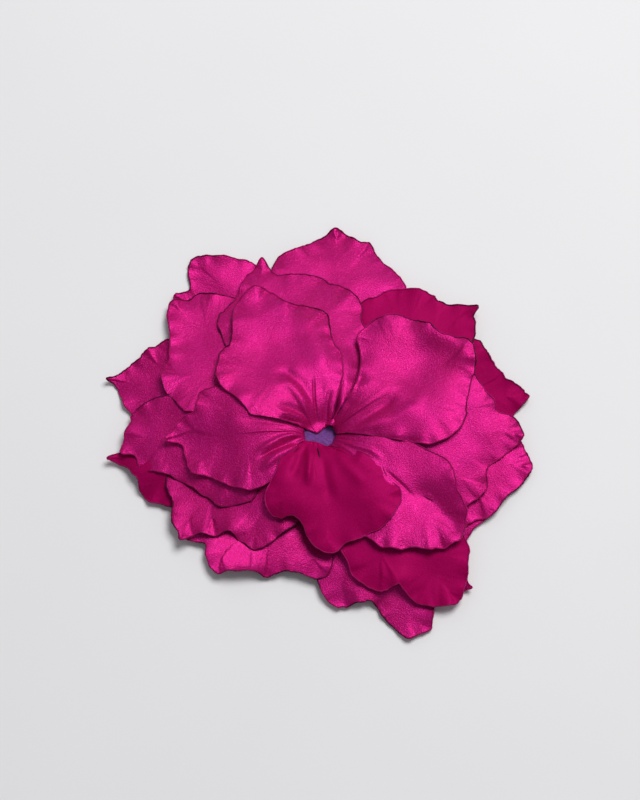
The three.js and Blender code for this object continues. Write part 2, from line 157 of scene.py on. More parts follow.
# One row a petal.
# root: where the two ends of the gathered root stand on the ring's root circle, in degrees.
# gathered: points along a root that is pushed aside by its neighbours.
# over: how much each side lies over its neighbour, 0 or 1.
# bend: degrees by which the second side is turned at the root, so that it curves out to its rim.
# rim: points [x, y, lift of the curled edge] from the first side to the second.
# folds: [place across the petal from 0 to 1, height, half width], gathers that run out from the root.
# grain: the way that the satin's floats lie, in degrees. The dull flag is 1 where the satin's reverse faces
# up; on these petals the reverse's darker colour is partly painted shade.
# soft_rim: 1 where the sealed rim isn't dark.
# tilt: how far the root is raised and the rim lowered.
# creases: (line of points [x, y], height, width), ridges and valleys.
PETALS = {
    "outer_upper_left": {
        "root": [112, 142],
        "over": [0, 0],
        "rim": [[-12, 41], [-16.5, 47.5], [-18, 49.5], [-23, 51], [-30, 51.5, 0.4], [-33.5, 51],
            [-35, 49], [-35, 45.5], [-34.5, 42.5], [-36, 41], [-38.5, 40.5, 1], [-38.5, 38], [-36.5, 34],
            [-32.5, 28]],
        "folds": [[0.35, 0.3, 0.1], [0.6, -0.3, 0.08]],
        "grain": 115,
    },
    "outer_upper_right": {
        "root": [10, 46],
        "over": [0, 0],
        "rim": [[46, 2.5], [50.5, 6.5], [54.5, 11, 1], [53.5, 13], [51.5, 15], [48.5, 16.5, -0.4],
            [47.5, 18.5], [45.5, 20.5], [44, 24], [42.5, 26.5, 0.4], [40, 28], [37, 29.5], [33.5, 30.5]],
        "folds": [[0.3, 0.3, 0.1], [0.65, -0.3, 0.1]],
        "grain": 60,
        "dull_shaded": 1,
    },
    "outer_lower_right": {
        "root": [-80, -36],
        "over": [0, 0],
        "rim": [[-1.5, -36], [-0.5, -39], [1, -42.5], [3.5, -45], [6.5, -45.5], [9.5, -44.5, 1],
            [12.5, -44, 1.2], [14.5, -45.5], [16, -48], [18.5, -50.5], [22, -53.5, 0.6], [25, -52.5],
            [28, -51], [28.5, -48], [29.5, -44.5], [35.5, -41.5], [38.5, -40.5, 0.6], [37.5, -38.5],
            [36, -31], [39, -25], [44, -21]],
        "folds": [[0.3, 0.3, 0.08], [0.45, -0.3, 0.08]],
        "grain": 60,
        "creases": [
            ([[8, -28], [11, -34], [12, -39]], 1, 3.5),
        ],
    },
    "outer_left": {
        "root": [147, 178],
        "over": [0, 0],
        "rim": [[-35, 25.5], [-40, 27.5], [-43, 25.5], [-45.5, 24.5, 0.5], [-47.5, 22.5], [-50, 20],
            [-53, 17.5], [-56, 16, 1.6], [-54, 15], [-52.5, 12.5], [-51, 9, 0.5], [-49, 6.5], [-46, 4.5],
            [-42, 2.5]],
        "folds": [[0.4, 0.3, 0.1], [0.75, -0.3, 0.1]],
        "grain": 40,
    },
    "outer_top": {
        "root": [71, 107],
        "over": [1, 1],
        "rim": [[20.5, 36.5], [23, 41.5], [21.5, 45, 0.4], [19, 47.5], [16.5, 49.5], [15, 52],
            [13.5, 54.5], [10.5, 55.5, 0.6], [7, 57.5], [4, 59, 1.4], [1.5, 57.5], [-2.5, 55],
            [-6, 53.5, 0.5], [-10.5, 51.5], [-12.5, 48.5], [-12.5, 45], [-11.5, 40.5]],
        "folds": [[0.35, 0.3, 0.1], [0.65, -0.3, 0.1]],
        "grain": 240,
    },
    "outer_right": {
        "root": [-30, 2],
        "over": [1, 1],
        "rim": [[36.5, -24.5], [40.5, -22.5], [44, -21, 0.5], [47.5, -17], [50.5, -14], [54, -10.5],
            [55, -8, 0.7], [54, -5.5], [53, -3], [52, -1], [49.5, 0], [46.5, 1.5]],
        "folds": [[0.4, 0.3, 0.12], [0.7, -0.3, 0.1]],
        "grain": 355,
    },
    "outer_lower_left": {
        "root": [-131, -90],
        "over": [1, 1],
        "rim": [[-31.5, -25], [-34, -27.5], [-29.5, -29], [-29, -32], [-28, -35], [-26, -37, 0.5],
            [-23.5, -36.5, 1.3], [-19.5, -36.5, 1.8], [-16.5, -36.5, 1.2], [-13.5, -37.5], [-10, -36.5],
            [-6, -36.5, 0.4], [-3, -37.5], [0, -38.5], [2.5, -36.5, 0.5], [3.5, -31.5]],
        "folds": [[0.4, 0.3, 0.1], [0.65, -0.3, 0.1]],
        "grain": 170,
    },
    "outer_left_low": {
        "root": [184, 224],
        "over": [1, 0],
        "rim": [[-44, -1], [-51, -4], [-55, -6, 1.5], [-52.5, -7], [-50, -8.5], [-47.5, -11, 0.5],
            [-46.5, -13.5], [-45.5, -16], [-44, -17.5, 0.4], [-41.5, -18], [-38.5, -19], [-34.5, -19.5],
            [-31, -20.5]],
        "folds": [[0.5, -0.3, 0.14]],
        "grain": 35,
        "dull_shaded": 1,
        "creases": [
            ([[-33, -6], [-40, -9], [-47, -9], [-50, -6]], 1.3, 4.5),
        ],
    },
    "middle_lower_left": {
        "root": [-139, -101],
        "over": [0, 0],
        "rim": [[-36, -9.5], [-39.5, -11.5], [-39, -15], [-38, -19, 0.5], [-38, -22.5], [-36.5, -25.5],
            [-35.5, -28.5, 1], [-33, -27.5], [-30, -26.5, 0.6], [-27, -27.5, -0.5], [-23, -26, 1.2],
            [-20, -29], [-16.5, -31, -0.2], [-13, -29.5], [-10, -27.5, 0.4], [-5.5, -24.5], [-3.5, -22]],
        "folds": [[0.2, -0.3, 0.08], [0.45, 0.3, 0.1], [0.75, -0.3, 0.1]],
        "grain": 310,
        "creases": [
            ([[-7, -8], [-9.5, -15], [-8, -23]], 1.6, 4),
        ],
    },
    "middle_left": {
        "root": [166, 205],
        "over": [0, 1],
        "rim": [[-36.5, 12.5], [-40, 11], [-43.5, 10], [-48.5, 6.5], [-49, 4], [-50.5, 1, 0.6], [-51, -2],
            [-51.5, -5, 0.8], [-48, -5.5], [-46, -9.5], [-42.5, -10, 0.5], [-39, -11], [-35.5, -13],
            [-31.5, -15.5, 0.5], [-28.5, -17.5], [-26, -19.5, 0.8], [-21.5, -19.5], [-17.5, -18.5]],
        "folds": [[0.3, -0.3, 0.08], [0.55, 0.3, 0.1], [0.8, -0.3, 0.08]],
        "grain": 30,
    },
    "middle_upper_left": {
        "root": [130, 159],
        "over": [0, 1],
        "rim": [[-19.5, 35.5], [-23, 38.5], [-28, 39.5, 0.5], [-32, 40], [-35, 38.5], [-38.5, 38, 0.8],
            [-40, 35.5], [-40, 31], [-39.5, 27, -0.4], [-39.5, 22], [-41, 19.5], [-41.5, 15.5, 0.7],
            [-40.5, 12], [-38, 9.5], [-35, 6, 0.6]],
        "folds": [[0.3, -0.3, 0.08], [0.55, 0.3, 0.1], [0.8, -0.3, 0.08]],
        "grain": 240,
    },
    "middle_upper_right": {
        "root": [10, 36],
        "over": [0, 0],
        "rim": [[38, 22.5], [40.5, 27], [41, 30.5], [40.5, 33.5], [42, 36, 1], [39.5, 36.5],
            [34, 37, -0.4], [31, 38], [29.5, 39.5], [25.5, 41, 0.5], [20, 41], [17, 40], [15, 38.5],
            [12, 37.5], [9.5, 35.5], [8, 31.5]],
        "folds": [[0.4, 0.3, 0.1], [0.7, -0.3, 0.1]],
        "grain": 330,
        "dull_shaded": 1,
    },
    "middle_right": {
        "root": [-33, 0],
        "over": [1, 1],
        "rim": [[34.5, -21.5], [38, -19], [41.5, -16.5, 0.5], [43, -13.5], [43, -9.5], [45.5, -7, -0.3],
            [48, -5], [50.5, -3], [52.5, -0.5, 0.8], [52, 2.5], [50, 5.5], [46.5, 6.5], [45, 10, 0.4],
            [42.5, 13.5], [40.5, 16.5], [37.5, 18]],
        "folds": [[0.35, 0.3, 0.1], [0.65, -0.3, 0.1]],
        "grain": 60,
    },
    "middle_lower_right": {
        "root": [-90, -48],
        "over": [1, 0],
        "rim": [[5, -31], [7, -34.5, 0.5], [8, -37.5], [10, -39.5], [12.5, -41], [15.5, -42, 0.4],
            [18, -41, 1], [20, -40.5, 1.6], [21.5, -42, 1], [24, -44.5], [28, -45.5], [32, -45.5, 0.5],
            [35, -44.5], [36.5, -41.5], [37.5, -36, 0.5], [38, -31], [37, -27.5], [34.5, -24]],
        "folds": [[0.3, -0.3, 0.08], [0.5, 0.3, 0.1], [0.8, -0.3, 0.1]],
        "soft_rim": 1,
        "grain": 60,
        "dull_shaded": 1,
    },
    "middle_top": {
        "root": [48, 118],
        "gathered": [[6, 1.6], [1.6, 2.6], [-5, 7]],
        "over": [1, 1],
        "rim": [[13.5, 25.5], [11, 31], [11, 35], [9.5, 38.5, 0.5], [6.5, 41], [2.5, 42.5], [-0.5, 44.5],
            [-6, 45, 0.4], [-11.5, 45], [-13.5, 47], [-15.5, 49.5, 1.8], [-17.5, 46.5], [-20.5, 43],
            [-22, 38.5, -0.3], [-25, 35], [-27, 31.5, 0.5], [-26, 28], [-24, 23], [-20, 18.5]],
        "folds": [[0.3, -0.3, 0.08], [0.5, 0.3, 0.1], [0.75, -0.3, 0.1]],
        "grain": 265,
        "creases": [
            ([[4.6, 5.8], [6.2, 11], [6.4, 17], [5.6, 24]], 1, 2.6),
            ([[0, -2], [2, 1], [4, 4.4], [7, 11]], 2.8, 1.6),
        ],
    },
    "inner_lower_right": {
        "root": [-47, -10],
        "gathered": [[1.8, -3], [3.2, -1.9], [3.9, -0.2]],
        "over": [0, 0],
        "rim": [[6.5, -24.5], [9.5, -28], [12, -28.5], [15.5, -31, 0.6], [20, -31.5, 0.5], [24, -31],
            [27.5, -31.5, 0.6], [31, -31], [34.5, -29.5, 0.5], [36.5, -27], [37.5, -22],
            [36.5, -18.5, 0.5], [35, -15.5], [34.5, -11.5], [32.5, -8], [28, -5.5], [22.5, -2.5]],
        "folds": [[0.3, -0.3, 0.08], [0.5, 0.3, 0.1], [0.75, -0.3, 0.1]],
        "grain": 10,
        "creases": [
            ([[3.4, -2.2], [8, -3.6], [13, -5.4], [17, -8.4]], 0.5, 0.8),
            ([[16, -10.3], [20.8, -14.5], [24.5, -18]], -0.4, 0.45),
            ([[22, -13.5], [29, -18.5], [34, -24], [36, -29]], -1, 2.6),
            ([[35, -8], [38, -20], [37, -31]], 1, 4),
        ],
    },
    "inner_left": {
        "root": [167, 192],
        "gathered": [[-4, 1.4], [-3.8, -1.3]],
        "over": [0, 0],
        "rim": [[-24, 12.5], [-30, 11.5], [-31.5, 9], [-32.5, 5.5, 0.5], [-36, 3.5], [-38, 0.5],
            [-40, -2.5, 0.8], [-36, -3, -0.5], [-34.5, -7], [-33, -11, 0.8], [-28, -12.5], [-24, -14.5],
            [-19.5, -16, 0.6], [-16.5, -16], [-13.5, -14.5], [-11, -12]],
        "folds": [[0.2, -0.3, 0.06], [0.4, 0.3, 0.08], [0.62, -0.3, 0.08], [0.85, 0.3, 0.06]],
        "soft_rim": 1,
        "grain": 30,
        "creases": [
            ([[-3.9, 0.4], [-10, -2.2], [-17, -6.4]], 0.9, 0.9),
            ([[-5, -1.6], [-11.7, -5.2], [-16.5, -8.4]], -0.6, 0.6),
            ([[-5, -3], [-11, -7.2], [-15.5, -11.5]], 0.9, 1.1),
            ([[-7, 2.4], [-14, 2.6], [-23, 3]], -0.5, 1.5),
        ],
    },
    "inner_bottom": {
        "root": [209, 292],
        "gathered": [[-3.8, -1.5], [-2, -1.6], [-0.4, -2], [1.9, -3]],
        "over": [1, 1],
        "rim": [[-10, -7.5], [-12, -13, 0.4], [-14, -18], [-13, -22], [-10, -23.5], [-7, -23.5, 0.6],
            [-4.5, -25.5], [-3, -29], [-0.5, -32, 0.5], [3, -33, 0.6], [6, -30.5], [11, -28.5],
            [16.5, -25, 0.4], [20, -20.5], [20.5, -16], [17.5, -13, -0.4], [15.5, -9], [11.5, -6.5]],
        "folds": [[0.15, 0.3, 0.06], [0.35, -0.3, 0.07], [0.55, 0.3, 0.08], [0.8, -0.3, 0.08]],
        "soft_rim": 1,
        "grain": 40,
        "dull_shaded": 1,
        "tilt": 0.3,
        "creases": [
            ([[-2.2, -2.4], [-2.7, -9], [-3.1, -16]], 1.2, 1),
            ([[0.2, -4], [1.2, -13], [3, -20]], -0.7, 1.5),
            ([[-4.6, -3.5], [-5.6, -9], [-7.5, -14.5]], -0.7, 1.3),
            ([[3.6, -5.5], [7.5, -11], [12, -16]], 0.4, 1.5),
        ],
    },
    "inner_upper_left": {
        "root": [54, 151],
        "gathered": [[2.8, 2.6], [1.4, 2.2], [-0.5, 0.7], [-2, 1.1], [-4, 1.7]],
        "over": [1, 1],
        "rim": [[6, 15], [5.5, 20.5], [3.5, 24], [2.5, 28.5], [2, 32], [-0.5, 33.5, 0.5], [-5.5, 35],
            [-9, 36, 0.8], [-13, 39], [-17, 40.5, 0.6], [-20, 38], [-22.5, 35], [-23, 30, 0.5],
            [-23.5, 24], [-26, 21.5], [-27, 15.5, 1], [-26, 12.5, 0.8], [-21.5, 8.5, 0.6], [-18, 4]],
        "folds": [[0.12, 0.3, 0.06], [0.3, -0.3, 0.07], [0.5, 0.3, 0.08], [0.7, -0.3, 0.07],
            [0.88, 0.3, 0.05]],
        "grain": 238,
        "creases": [
            ([[-8, 34], [-2, 27], [0.5, 19], [0.5, 11]], 0.9, 3),
            ([[-13, 15.5], [-8.5, 15.5], [-4.8, 12.4], [-2.4, 7.6], [-1, 2.6]], -0.7, 1.3),
            ([[-14, 12], [-8.5, 12.2], [-4.4, 8.4], [-2.2, 3.4]], 0.4, 1.3),
            ([[-12, 6.4], [-7.5, 6.2], [-5, 5], [-3, 2.8]], -0.5, 0.8),
            ([[-11.5, 4.2], [-8, 4.5], [-5, 4], [-3, 2.2]], 0.4, 0.6),
            ([[-10.8, 3.2], [-7.5, 2.9], [-4.2, 2.6]], -0.5, 0.4),
            ([[-1.7, 15], [-1.5, 9], [-0.9, 3]], -0.5, 0.3),
            ([[2.8, 12], [1.8, 7], [1.4, 2]], -0.6, 0.7),
        ],
    },
    "inner_right": {
        "root": [9, 40],
        "gathered": [[4.2, 0], [3.7, 1], [3, 2.8]],
        "over": [1, 1],
        "rim": [[28, -4], [33, -2], [36.5, 1.5, 0.6], [38, 7], [39, 13], [40.5, 19.5, 0.6], [39.5, 25],
            [35, 26, -0.3], [31, 27], [28.5, 29.5], [24, 31], [18.5, 32, 0.5], [14, 30.5], [10.5, 27],
            [9.5, 25]],
        "bend": -22,
        "folds": [[0.15, 0.3, 0.06], [0.38, -0.3, 0.08], [0.6, 0.3, 0.08], [0.82, -0.3, 0.06]],
        "grain": 345,
        "creases": [
            ([[5, 0], [8.6, 1.4], [13, 4], [17, 6.8], [20.5, 11]], -0.8, 1.4),
            ([[6, -0.6], [13, 1], [19, 3], [24.5, 6.5], [27, 12]], 0.5, 1.8),
            ([[5, -0.8], [12, -2], [20, -2.8], [29, -3.6]], -0.5, 0.8),
            ([[10.5, 17], [8.4, 10], [4.6, 4]], 0.6, 0.6),
            ([[6, 5.6], [10, 10], [15, 15]], 0.4, 1.6),
            ([[23, 32], [31, 28], [37.5, 23.5], [41, 16.5]], 2.2, 4.5),
        ],
    },
}


def smooth(low, high, value):
    """0 below low, 1 above high, smooth between."""
    share = min(1, max(0, (value - low) / (high - low)))
    return share * share * (3 - 2 * share)


def smooth_along(points, x):
    """A smooth curve through a list of [x, value]."""
    last = len(points) - 2
    here = next((i for i in range(last + 1) if x <= points[i + 1][0]), last)
    around = [points[max(0, min(last + 1, i))] for i in range(here - 1, here + 3)]
    (xa, va), (x0, v0), (x1, v1), (xb, vb) = around
    span = x1 - x0
    slope0 = (v1 - va) / (x1 - xa)
    slope1 = (vb - v0) / (xb - x0)
    t = (x - x0) / span
    return (
        v0 * (1 + 2 * t) * (1 - t) ** 2
        + v1 * t * t * (3 - 2 * t)
        + span * (slope0 * t * (1 - t) ** 2 - slope1 * t * t * (1 - t))
    )


def spline(points, t):
    """The point at t, from 0 to 1, on a Catmull-Rom curve through points."""
    last = len(points) - 1
    place = min(max(t, 0), 1) * last
    here = min(int(place), last - 1)
    f = place - here
    a, b, c, d = (points[max(0, min(last, i))] for i in range(here - 1, here + 3))
    return (
        b * (1 + f * f * (1.5 * f - 2.5))
        + c * (f * (0.5 + f * (2 - 1.5 * f)))
        + a * (f * (-0.5 + f * (1 - 0.5 * f)))
        + d * (f * f * (0.5 * f - 0.5))
    )


def spot(plan, x, y, wide):
    """1 at the place x, y, falling away smoothly over wide."""
    return math.exp(-((plan.x - x) ** 2 + (plan.y - y) ** 2) / wide**2)


def nearest(line, plan):
    """How far plan is from a line of points, and the share of the way along it that is nearest."""
    best, share = math.inf, 0
    last = len(line) - 1
    for place in range(last):
        start, end = line[place], line[place + 1]
        step = end - start
        t = min(1, max(0, (plan - start).dot(step) / step.length_squared))
        away = (plan - start - step * t).length
        if away < best:
            best, share = away, (place + t) / last
    return best, share


class Column:
    """What holds all the way from a petal's root to its rim at one place across, from 0 to 1."""

    def __init__(self, petal, across):
        self.root = spline(petal.root, across)
        rim, self.lift = petal.rim_at(across)
        self.ray = rim - self.root
        self.bend = petal.bend * smooth(*BEND_SPAN, across)
        first, second = petal.over
        self.over = first + (second - first) * across
        self.sides = math.sin(math.pi * across) ** 0.5 if 0 < across < 1 else 0
        self.folds = sum(
            tall * math.exp(-(((across - place) / width) ** 2)) for place, tall, width in petal.folds
        )
        shift = PLEAT_SHIFT * petal.uneven(across * PLEAT_SHIFTS, PLEAT_SHIFT_LAYER)
        usual, change = PLEAT_TALL
        tall = usual + change * petal.uneven(across * PLEAT_CHANGES, PLEAT_TALL_LAYER)
        self.pleat = tall * math.sin(TAU * (PLEATS * across + shift + petal.seed))

    def plan(self, out):
        """The plan point at out, from 0 at the root to 1 at the rim."""
        return self.root + Matrix.Rotation(self.bend * (1 - out * out), 2) @ self.ray * out


class Edge:
    """A petal's cut edge, from one end of its root round the rim to the other end."""

    def __init__(self, petal):
        flank = EDGE_STEPS // 4
        places = [(0, step / flank) for step in range(flank)]
        places += [(petal.across_at(step / EDGE_STEPS), 1) for step in range(EDGE_STEPS + 1)]
        places += [(1, step / flank) for step in reversed(range(flank))]
        self.tree = kdtree.KDTree(len(places))
        self.forms = []
        length = 0
        previous = None
        first, second = petal.over
        for index, (across, out) in enumerate(places):
            column = petal.column(across)
            plan = column.plan(out)
            length += (plan - previous).length if previous else 0
            previous = plan
            low = 1 if first else smooth(0, SIDE_CALM, across)
            high = 1 if second else smooth(0, SIDE_CALM, 1 - across)
            calm = low * high * smooth(*RUFFLE_SPAN, out)
            ruffle = RUFFLE_HEIGHT * petal.uneven(length / RUFFLE_LENGTH, RUFFLE_LAYER)
            curl = CURL_HEIGHT * (CURL_UP + petal.uneven(length / CURL_LENGTH, CURL_LAYER))
            tip = smooth(*TIP_SPAN, out)
            droop = column.over * smooth(*DROOP_SPAN, out) * (DROOP + (FLANK_DROOP - DROOP) * (1 - tip))
            self.forms.append((column.lift * tip, ruffle * calm, curl * calm, droop))
            self.tree.insert((*plan, 0), index)
        self.tree.balance()

    def height(self, plan):
        """How far the curled, ruffled and drooping edge moves the cloth at plan."""
        _, index, near = self.tree.find((*plan, 0))
        lift, ruffle, curl, droop = self.forms[index]
        z = lift * math.exp(-((near / LIFT_REACH) ** 2)) + ruffle * math.exp(-((near / RUFFLE_REACH) ** 2))
        return z + curl * math.exp(-near / CURL_REACH) - droop * math.exp(-near / DROOP_REACH)


class Petal:
    """One petal's surface: a point in millimetres for each place across (0 to 1) and out (0 to 1)."""

    def __init__(self, name, shape):
        self.name = name
        self.ring = RINGS[name.split("_")[0]]
        self.seed = SEED_STEP * sum(ord(letter) for letter in name)
        self.root = [Vector(point) for point in shape.get("gathered", self.spread_root(shape["root"]))]
        self.rim = [Vector((*point[:2], point[2] if len(point) > 2 else 0)) for point in shape["rim"]]
        self.over = shape["over"]
        self.folds = shape["folds"]
        self.grain = math.radians(shape["grain"])
        self.creases = [
            ([Vector(point) for point in line], tall, wide) for line, tall, wide in shape.get("creases", [])
        ]
        self.lengths = [0.0]
        for before, after in zip(self.rim, self.rim[1:]):
            self.lengths.append(self.lengths[-1] + (after - before).xy.length)
        self.tilt = shape.get("tilt", 0)
        self.bend = math.radians(shape.get("bend", 0))
        self.dull_shaded = shape.get("dull_shaded", 0)
        self.soft_rim = shape.get("soft_rim", 0)
        self.columns = {}
        self.edge = Edge(self)

    def spread_root(self, angles):
        """The ends of a root that stands on the ring's root circle, spread a little past its angles."""
        turns = [math.radians(angle) for angle in angles]
        one, two = (Vector((math.cos(turn), math.sin(turn))) * self.ring["root_radius"] for turn in turns)
        return [one.lerp(two, -ROOT_SPREAD), two.lerp(one, -ROOT_SPREAD)]

    def uneven(self, place, layer):
        """Noise from -1 to 1 that is this petal's own. It changes as place moves by about 1."""
        return noise.noise(Vector((place, self.seed, layer)))

    def across_at(self, share):
        """The place across at a share of the rim's length."""
        goal = share * self.lengths[-1]
        here = next(i for i in range(len(self.lengths) - 1) if goal <= self.lengths[i + 1] + ROUNDING)
        span = self.lengths[here + 1] - self.lengths[here]
        return (here + (goal - self.lengths[here]) / span) / (len(self.rim) - 1)

    def rim_at(self, across):
        """The rim's plan point and lift, with a small wobble of the cut."""
        x, y, lift = spline(self.rim, across)
        along = across * self.lengths[-1]
        wobble = RIM_WOBBLE * self.uneven(along / WOBBLE_LENGTH, WOBBLE_LAYER)
        crinkle = RIM_CRINKLE * self.uneven(along / CRINKLE_LENGTH, CRINKLE_LAYER)
        outward = Vector((x, y)).normalized()
        return Vector((x, y)) + outward * (wobble + crinkle), lift

    def column(self, across):
        if across not in self.columns:
            self.columns[across] = Column(self, across)
        return self.columns[across]

    def point(self, across, out):
        """The cloth's point at a place across and out."""
        column = self.column(across)
        plan = column.plan(out)
        x, y = plan
        z = smooth_along(self.ring["dome"], plan.length)
        z += self.ring["step"] * column.over * smooth(CLIMB_START, OVERLAP_RAMP, out)
        z += sum(tall * spot(plan, x0, y0, wide) for x0, y0, tall, wide in self.ring["swells"])
        gather = smooth(0, OVERLAP_RAMP, out) * (1 - smooth(OVERLAP_RAMP, FOLD_END, out))
        z += column.folds * gather * column.sides
        z += self.creased(plan)
        share = out / PLEAT_PEAK
        z += PLEAT_HEIGHT * column.pleat * column.sides * share * math.exp(1 - share)
        z += RIPPLE_HEIGHT * noise.noise(Vector((x, y, RIPPLE_LAYER)) / RIPPLE_LENGTH)
        z += DIMPLE_HEIGHT * noise.noise(Vector((x, y, DIMPLE_LAYER)) / DIMPLE_LENGTH)
        z += self.tilt * (1 - 2 * out) * smooth(*TILT_SPAN, out)
        z += self.edge.height(plan)
        return Vector((x, y, max(z, LOWEST)))

    def creased(self, plan):
        """The height of the listed creases. They taper at both ends."""
        z = 0
        for line, tall, wide in self.creases:
            away, along = nearest(line, plan)
            if away < CREASE_REACH * wide:
                ends = smooth(0, TAPER, along) * smooth(0, TAPER, 1 - along)
                z += tall * ends * math.exp(-((away / wide) ** 2))
        return z


def finish_mesh(name, mesh, materials):
    """The bmesh as a new object in the scene."""
    data = bpy.data.meshes.new(name)
    mesh.normal_update()
    mesh.to_mesh(data)
    mesh.free()
    for material in materials:
        data.materials.append(material)
    made = bpy.data.objects.new(name, data)
    bpy.context.scene.collection.objects.link(made)
    return made


def tube_frames(path, radii):
    """For each point of path, the point and two arms as long as the tube's radius there."""
    last = len(path) - 1
    for place, (point, radius) in enumerate(zip(path, radii)):
        ahead = (path[min(place + 1, last)] - path[max(place - 1, 0)]).normalized()
        aside = ahead.cross(Vector((0, 0, 1))).normalized()
        yield point, aside * radius, aside.cross(ahead) * radius


def tube(mesh, path, radii, sides, slot=FRONT_SLOT):
    """A closed round tube along path, with a radius for each point: a grid that is rolled up and capped."""
    frames = list(tube_frames(path, radii))
    last = len(path) - 1
    grid = bmesh.ops.create_grid(mesh, x_segments=sides, y_segments=last, size=0.5)["verts"]
    seam = {0: {}, sides: {}}
    for vert in grid:
        side = round((vert.co.x + 0.5) * sides)
        place = round((vert.co.y + 0.5) * last)
        turn = -TAU * side / sides
        point, aside, up = frames[place]
        vert.co = point + aside * math.cos(turn) + up * math.sin(turn)
        if side in seam:
            seam[side][place] = vert
    bmesh.ops.weld_verts(mesh, targetmap={seam[sides][place]: vert for place, vert in seam[0].items()})
    rolled = [vert for vert in grid if vert.is_valid]
    for face in {face for vert in rolled for face in vert.link_faces}:
        face.material_index = slot
        face.smooth = True
    ends = {edge for vert in rolled for edge in vert.link_edges if edge.is_boundary}
    for cap in bmesh.ops.holes_fill(mesh, edges=list(ends), sides=sides)["faces"]:
        cap.material_index = slot


def add_back(mesh, thickness):
    """A second layer under the cloth, joined to it along its edge."""
    front = list(mesh.faces)
    made = bmesh.ops.extrude_face_region(mesh, geom=front, use_keep_orig=True)["geom"]
    for part in made:
        if isinstance(part, bmesh.types.BMVert):
            part.co -= part.normal * thickness
    for face in set(mesh.faces) - set(front):
        face.material_index = BACK_SLOT
        face.smooth = True
    bmesh.ops.recalc_face_normals(mesh, faces=mesh.faces)


def petal_cloth(petal, materials):
    """The petal's satin, front and back, with the bead along its cut edge."""
    mesh = bmesh.new()
    bmesh.ops.create_grid(mesh, x_segments=COLUMNS, y_segments=ROWS, size=0.5, calc_uvs=True)
    cloth = mesh.loops.layers.uv.verify()
    places = [petal.across_at(column / COLUMNS) for column in range(COLUMNS + 1)]
    turn = Vector((math.cos(petal.grain), math.sin(petal.grain)))
    for vert in mesh.verts:
        across = places[round((vert.co.x + 0.5) * COLUMNS)]
        out = 1 - (0.5 - vert.co.y) ** ROW_CROWDING
        vert.co = petal.point(across, out) * MM
    for face in mesh.faces:
        face.smooth = True
        for loop in face.loops:
            plan = loop.vert.co.xy
            loop[cloth].uv = Vector((plan.dot(turn), turn.cross(plan))) / CLOTH_MAP
    mesh.normal_update()
    if sum(face.normal.z for face in mesh.faces) < 0:
        bmesh.ops.reverse_faces(mesh, faces=mesh.faces)
    add_back(mesh, SATIN_THICKNESS * MM)
    side = [row / ROWS for row in range(BEAD_FIRST_ROW, ROWS, BEAD_ROW_STEP)]
    outline = [(places[0], out) for out in side]
    outline += [(place, 1) for place in places]
    outline += [(places[-1], out) for out in reversed(side)]
    path = [petal.point(across, out) * MM for across, out in outline]
    lumps = [BEAD_UNEVENNESS * petal.uneven(place * BEAD_LUMPS, BEAD_LAYER) for place in range(len(path))]
    tube(mesh, path, [BEAD_RADIUS * MM * (1 + lump) for lump in lumps], BEAD_SIDES, BEAD_SLOT)
    return finish_mesh(petal.name + "_satin", mesh, materials)


# Where a Mix node has its sockets for colours: the share, the two colours and the result.
MIX_INPUTS = (0, 6, 7)
MIX_OUTPUT = 2


class Value:
    """A shader socket. Python's own operators on it add Math nodes."""

    def __init__(self, paint, socket):
        self.paint = paint
        self.socket = socket

    def math(self, operation, first, second):
        node = self.paint.node("ShaderNodeMath", {"operation": operation}, {0: first, 1: second})
        return Value(self.paint, node.outputs[0])

    def __add__(self, other):
        return self.math("ADD", self, other)

    def __radd__(self, other):
        return self.math("ADD", other, self)

    def __sub__(self, other):
        return self.math("SUBTRACT", self, other)

    def __rsub__(self, other):
        return self.math("SUBTRACT", other, self)

    def __mul__(self, other):
        return self.math("MULTIPLY", self, other)

    def __rmul__(self, other):
        return self.math("MULTIPLY", other, self)

    def clamped(self):
        node = self.paint.node("ShaderNodeClamp", inputs={0: self})
        return Value(self.paint, node.outputs[0])


class Paint:
    """A material with one Principled shader. constants are set on the shader's own sockets."""

    def __init__(self, name, constants):
        self.material = bpy.data.materials.new(name)
        self.material.use_nodes = True
        self.tree = self.material.node_tree
        self.shader = self.tree.nodes["Principled BSDF"]
        for socket, value in constants.items():
            self.shader.inputs[socket].default_value = value

    def node(self, kind, settings=None, inputs=None):
        """A node of one kind: its settings first, then the values or links of its sockets."""
        made = self.tree.nodes.new(kind)
        for key, value in (settings or {}).items():
            setattr(made, key, value)
        for key, value in (inputs or {}).items():
            self.put(made.inputs[key], value)
        return made

    def put(self, socket, value):
        if isinstance(value, Value):
            value = value.socket
        if isinstance(value, bpy.types.NodeSocket):
            self.tree.links.new(value, socket)
        else:
            socket.default_value = value

    def drive(self, name, value):
        self.put(self.shader.inputs[name], value)

    def coordinates(self, kind):
        return self.node("ShaderNodeTexCoord").outputs[kind]

    def noise(self, where, size, detail=2.0):
        """Noise from 0 to 1 with features of about size, in the units of where."""
        inputs = {"Vector": where, "Scale": 1 / size, "Detail": detail}
        return Value(self, self.node("ShaderNodeTexNoise", inputs=inputs).outputs[0])

    def mix(self, share, one, two):
        """The colour one where share is 0, and the colour two where it is 1."""
        inputs = dict(zip(MIX_INPUTS, (share, one, two)))
        return self.node("ShaderNodeMix", {"data_type": "RGBA"}, inputs).outputs[MIX_OUTPUT]

    def bump(self, height, distance, strength=1.0, normal=None):
        inputs = {"Height": height, "Distance": distance, "Strength": strength}
        if normal:
            inputs["Normal"] = normal
        return self.node("ShaderNodeBump", inputs=inputs).outputs[0]


